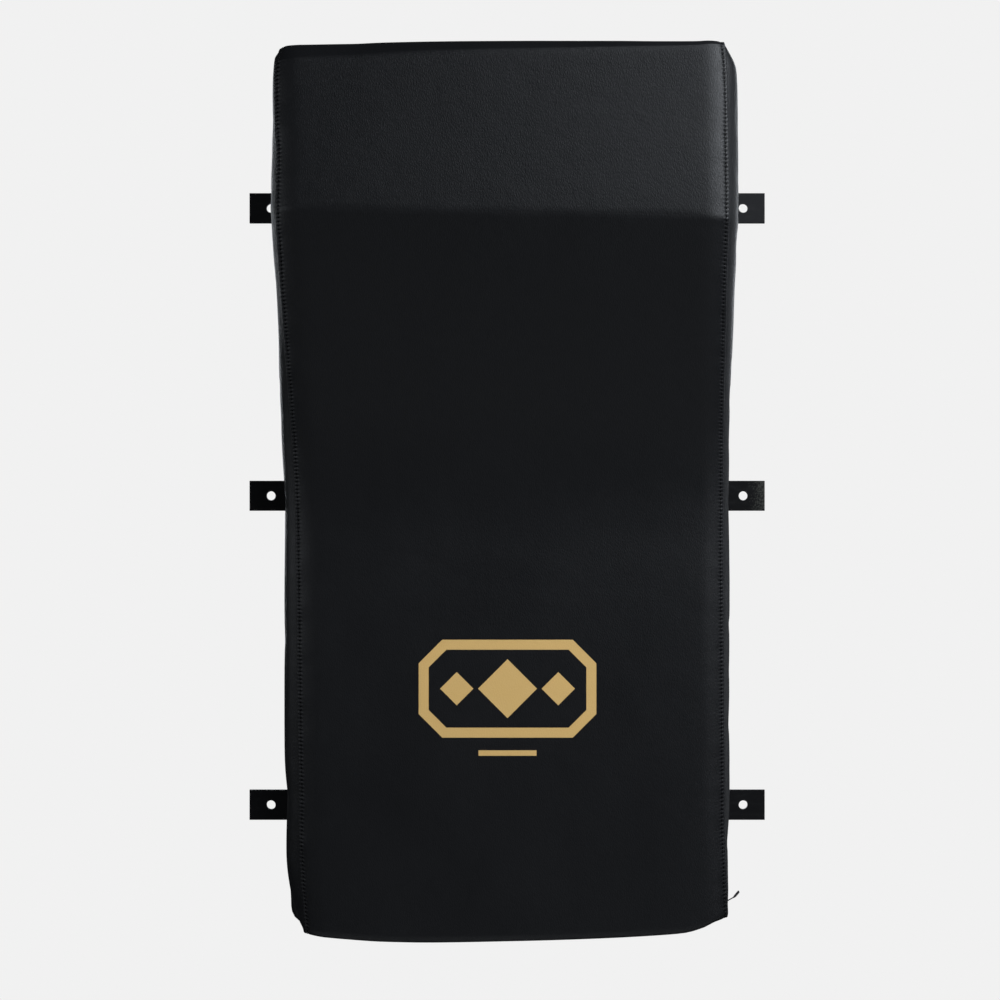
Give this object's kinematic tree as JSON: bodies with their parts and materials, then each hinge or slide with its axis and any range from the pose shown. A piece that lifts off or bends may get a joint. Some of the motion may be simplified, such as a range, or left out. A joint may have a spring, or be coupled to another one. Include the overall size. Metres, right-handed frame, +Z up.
{
  "type": "wall-mounted striking pad",
  "caption": "Wall-mounted striking pad: padded upper nose over a flat lower face, stitched black cover on a board, held by drilled flat steel bars.",
  "frame": {"origin": "middle of the middle bar's rear face, on the wall plane, halfway between that bar's two wall holes", "axes": "+Z up, +Y into the wall, so the pad stands out of the wall towards -Y; X across, along the bars"},
  "size_m": [0.6, 0.2353, 0.97],
  "materials": {
    "plywood": "unfinished birch plywood",
    "firm_foam": "matt open-cell foam",
    "strike_foam": "matt closed-cell foam",
    "cover_leatherette": "satin, fine embossed grain",
    "seam_thread": "twisted polyester thread",
    "gold_ink": "matt screen print",
    "dust_cloth": "non-woven cloth",
    "black_painted_steel": "satin black paint",
    "zinc_plated_steel": "bright zinc plate"
  },
  "bodies": {
    "root": {"backboard": "plywood", "base_foam": "firm_foam", "nose_block": "firm_foam", "strike_layer": "strike_foam", "front_wrap": "cover_leatherette", "left_gusset": "cover_leatherette", "right_gusset": "cover_leatherette", "left_topstitch": "seam_thread", "right_topstitch": "seam_thread", "front_print": "gold_ink", "dust_cover": "dust_cloth", "rear_staples": "zinc_plated_steel", "top_bar": "black_painted_steel", "middle_bar": "black_painted_steel", "bottom_bar": "black_painted_steel", "bar_screws": "zinc_plated_steel", "tee_nuts": "zinc_plated_steel"}
  },
  "joints": []
}
